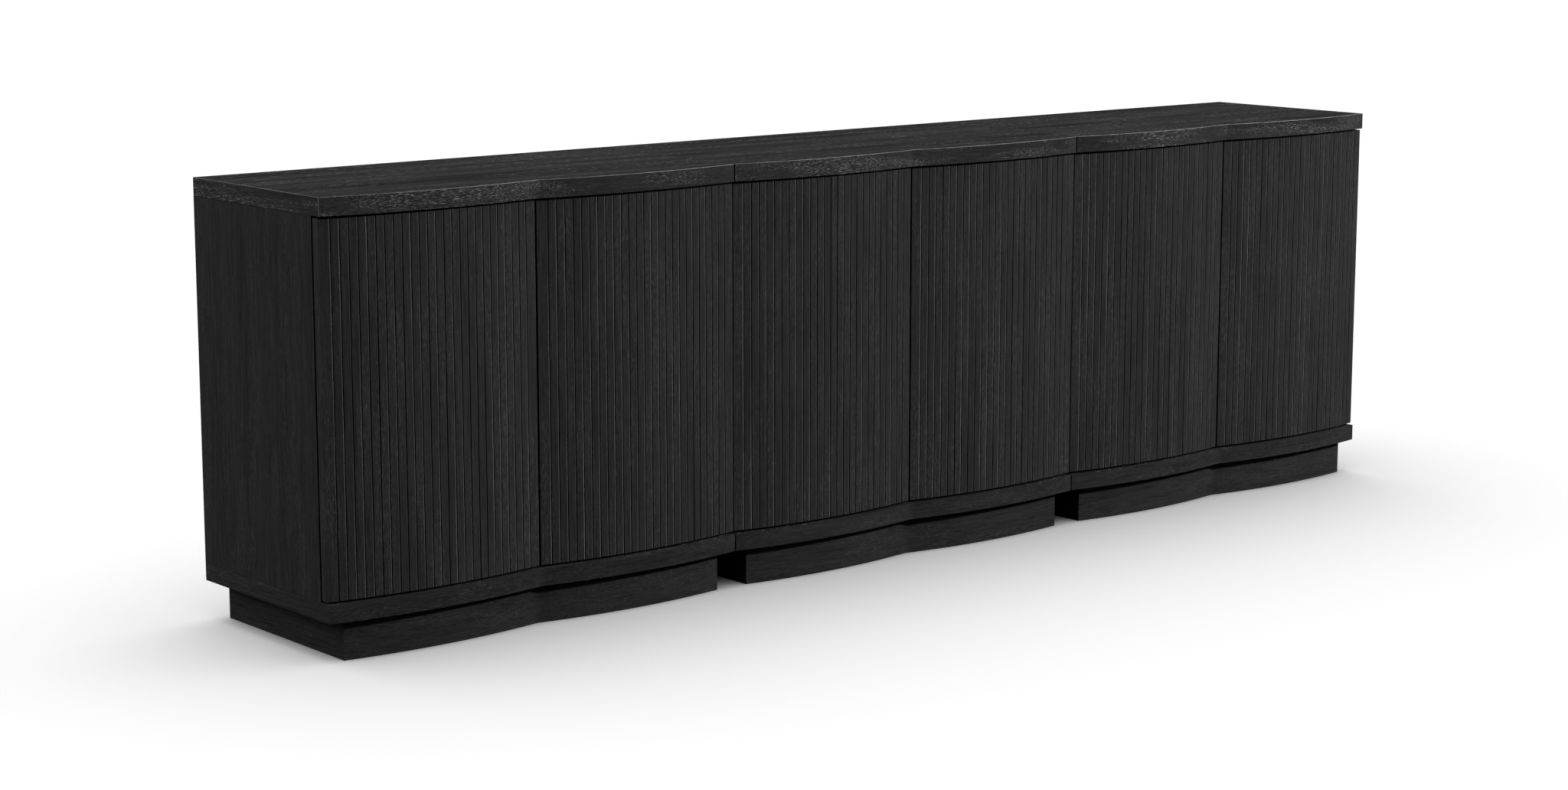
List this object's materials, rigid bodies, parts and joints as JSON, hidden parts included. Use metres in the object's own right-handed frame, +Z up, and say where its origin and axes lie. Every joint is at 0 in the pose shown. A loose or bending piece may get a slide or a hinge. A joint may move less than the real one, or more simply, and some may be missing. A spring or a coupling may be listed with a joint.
{
  "type": "sideboard",
  "caption": "Long low sideboard of joined cabinets in black-stained oak, with bowed grooved doors, thick scalloped top and base slabs and recessed plinths.",
  "frame": {"origin": "on the floor, under the centre of the whole sideboard's box", "axes": "+X along the sideboard to the right seen from the front, +Y towards the back (doors face -Y), +Z up"},
  "size_m": [3.046, 0.512, 0.92],
  "materials": {
    "black_oak": "black-stained open-grain oak veneer under a matt lacquer",
    "black_oak_inside": "black-stained veneer, matt, inside faces and back",
    "hinge_steel": "nickel-plated pressed steel, satin",
    "black_plastic": "moulded matt plastic"
  },
  "bodies": {
    "root": {"left_cabinet_plinth": "black_oak", "left_cabinet_base": "black_oak", "left_cabinet_top": "black_oak", "left_cabinet_back_panel": "black_oak_inside", "left_cabinet_shelf": "black_oak_inside", "left_cabinet_latch_housing": "black_plastic", "left_cabinet_left_side": "black_oak", "left_cabinet_left_hinge_arm_lower": "hinge_steel", "left_cabinet_left_hinge_arm_upper": "hinge_steel", "left_cabinet_right_side": "black_oak", "left_cabinet_right_hinge_arm_lower": "hinge_steel", "left_cabinet_right_hinge_arm_upper": "hinge_steel", "middle_cabinet_plinth": "black_oak", "middle_cabinet_base": "black_oak", "middle_cabinet_top": "black_oak", "middle_cabinet_back_panel": "black_oak_inside", "middle_cabinet_shelf": "black_oak_inside", "middle_cabinet_latch_housing": "black_plastic", "middle_cabinet_left_side": "black_oak", "middle_cabinet_left_hinge_arm_lower": "hinge_steel", "middle_cabinet_left_hinge_arm_upper": "hinge_steel", "middle_cabinet_right_side": "black_oak", "middle_cabinet_right_hinge_arm_lower": "hinge_steel", "middle_cabinet_right_hinge_arm_upper": "hinge_steel", "right_cabinet_plinth": "black_oak", "right_cabinet_base": "black_oak", "right_cabinet_top": "black_oak", "right_cabinet_back_panel": "black_oak_inside", "right_cabinet_shelf": "black_oak_inside", "right_cabinet_latch_housing": "black_plastic", "right_cabinet_left_side": "black_oak", "right_cabinet_left_hinge_arm_lower": "hinge_steel", "right_cabinet_left_hinge_arm_upper": "hinge_steel", "right_cabinet_right_side": "black_oak", "right_cabinet_right_hinge_arm_lower": "hinge_steel", "right_cabinet_right_hinge_arm_upper": "hinge_steel"},
    "left_cabinet_left_door_leaf": {"left_cabinet_left_door": "black_oak", "left_cabinet_left_hinge_cup_lower": "hinge_steel", "left_cabinet_left_hinge_cup_upper": "hinge_steel"},
    "left_cabinet_left_plunger": {"left_cabinet_left_latch_plunger": "black_plastic"},
    "left_cabinet_right_door_leaf": {"left_cabinet_right_door": "black_oak", "left_cabinet_right_hinge_cup_lower": "hinge_steel", "left_cabinet_right_hinge_cup_upper": "hinge_steel"},
    "left_cabinet_right_plunger": {"left_cabinet_right_latch_plunger": "black_plastic"},
    "middle_cabinet_left_door_leaf": {"middle_cabinet_left_door": "black_oak", "middle_cabinet_left_hinge_cup_lower": "hinge_steel", "middle_cabinet_left_hinge_cup_upper": "hinge_steel"},
    "middle_cabinet_left_plunger": {"middle_cabinet_left_latch_plunger": "black_plastic"},
    "middle_cabinet_right_door_leaf": {"middle_cabinet_right_door": "black_oak", "middle_cabinet_right_hinge_cup_lower": "hinge_steel", "middle_cabinet_right_hinge_cup_upper": "hinge_steel"},
    "middle_cabinet_right_plunger": {"middle_cabinet_right_latch_plunger": "black_plastic"},
    "right_cabinet_left_door_leaf": {"right_cabinet_left_door": "black_oak", "right_cabinet_left_hinge_cup_lower": "hinge_steel", "right_cabinet_left_hinge_cup_upper": "hinge_steel"},
    "right_cabinet_left_plunger": {"right_cabinet_left_latch_plunger": "black_plastic"},
    "right_cabinet_right_door_leaf": {"right_cabinet_right_door": "black_oak", "right_cabinet_right_hinge_cup_lower": "hinge_steel", "right_cabinet_right_hinge_cup_upper": "hinge_steel"},
    "right_cabinet_right_plunger": {"right_cabinet_right_latch_plunger": "black_plastic"}
  },
  "joints": [
    {"name": "left_cabinet_left_door_hinge", "type": "hinge", "parent": "root", "child": "left_cabinet_left_door_leaf", "pos_m": [-1.5105, -0.22497, 0.5015], "axis": [0, 0, -1], "range_deg": [0, 105]},
    {"name": "left_cabinet_left_plunger_press", "type": "slide", "parent": "root", "child": "left_cabinet_left_plunger", "axis": [0, 1, 0], "range_m": [0, 0.003], "stiffness_N_per_m": 600, "springref_m": -0.003},
    {"name": "left_cabinet_right_door_hinge", "type": "hinge", "parent": "root", "child": "left_cabinet_right_door_leaf", "pos_m": [-0.5215, -0.22497, 0.5015], "axis": [0, 0, 1], "range_deg": [0, 85]},
    {"name": "left_cabinet_right_plunger_press", "type": "slide", "parent": "root", "child": "left_cabinet_right_plunger", "axis": [0, 1, 0], "range_m": [0, 0.003], "stiffness_N_per_m": 600, "springref_m": -0.003},
    {"name": "middle_cabinet_left_door_hinge", "type": "hinge", "parent": "root", "child": "middle_cabinet_left_door_leaf", "pos_m": [-0.4945, -0.22497, 0.5015], "axis": [0, 0, -1], "range_deg": [0, 85]},
    {"name": "middle_cabinet_left_plunger_press", "type": "slide", "parent": "root", "child": "middle_cabinet_left_plunger", "axis": [0, 1, 0], "range_m": [0, 0.003], "stiffness_N_per_m": 600, "springref_m": -0.003},
    {"name": "middle_cabinet_right_door_hinge", "type": "hinge", "parent": "root", "child": "middle_cabinet_right_door_leaf", "pos_m": [0.4945, -0.22497, 0.5015], "axis": [0, 0, 1], "range_deg": [0, 85]},
    {"name": "middle_cabinet_right_plunger_press", "type": "slide", "parent": "root", "child": "middle_cabinet_right_plunger", "axis": [0, 1, 0], "range_m": [0, 0.003], "stiffness_N_per_m": 600, "springref_m": -0.003},
    {"name": "right_cabinet_left_door_hinge", "type": "hinge", "parent": "root", "child": "right_cabinet_left_door_leaf", "pos_m": [0.5215, -0.22497, 0.5015], "axis": [0, 0, -1], "range_deg": [0, 85]},
    {"name": "right_cabinet_left_plunger_press", "type": "slide", "parent": "root", "child": "right_cabinet_left_plunger", "axis": [0, 1, 0], "range_m": [0, 0.003], "stiffness_N_per_m": 600, "springref_m": -0.003},
    {"name": "right_cabinet_right_door_hinge", "type": "hinge", "parent": "root", "child": "right_cabinet_right_door_leaf", "pos_m": [1.5105, -0.22497, 0.5015], "axis": [0, 0, 1], "range_deg": [0, 105]},
    {"name": "right_cabinet_right_plunger_press", "type": "slide", "parent": "root", "child": "right_cabinet_right_plunger", "axis": [0, 1, 0], "range_m": [0, 0.003], "stiffness_N_per_m": 600, "springref_m": -0.003}
  ]
}
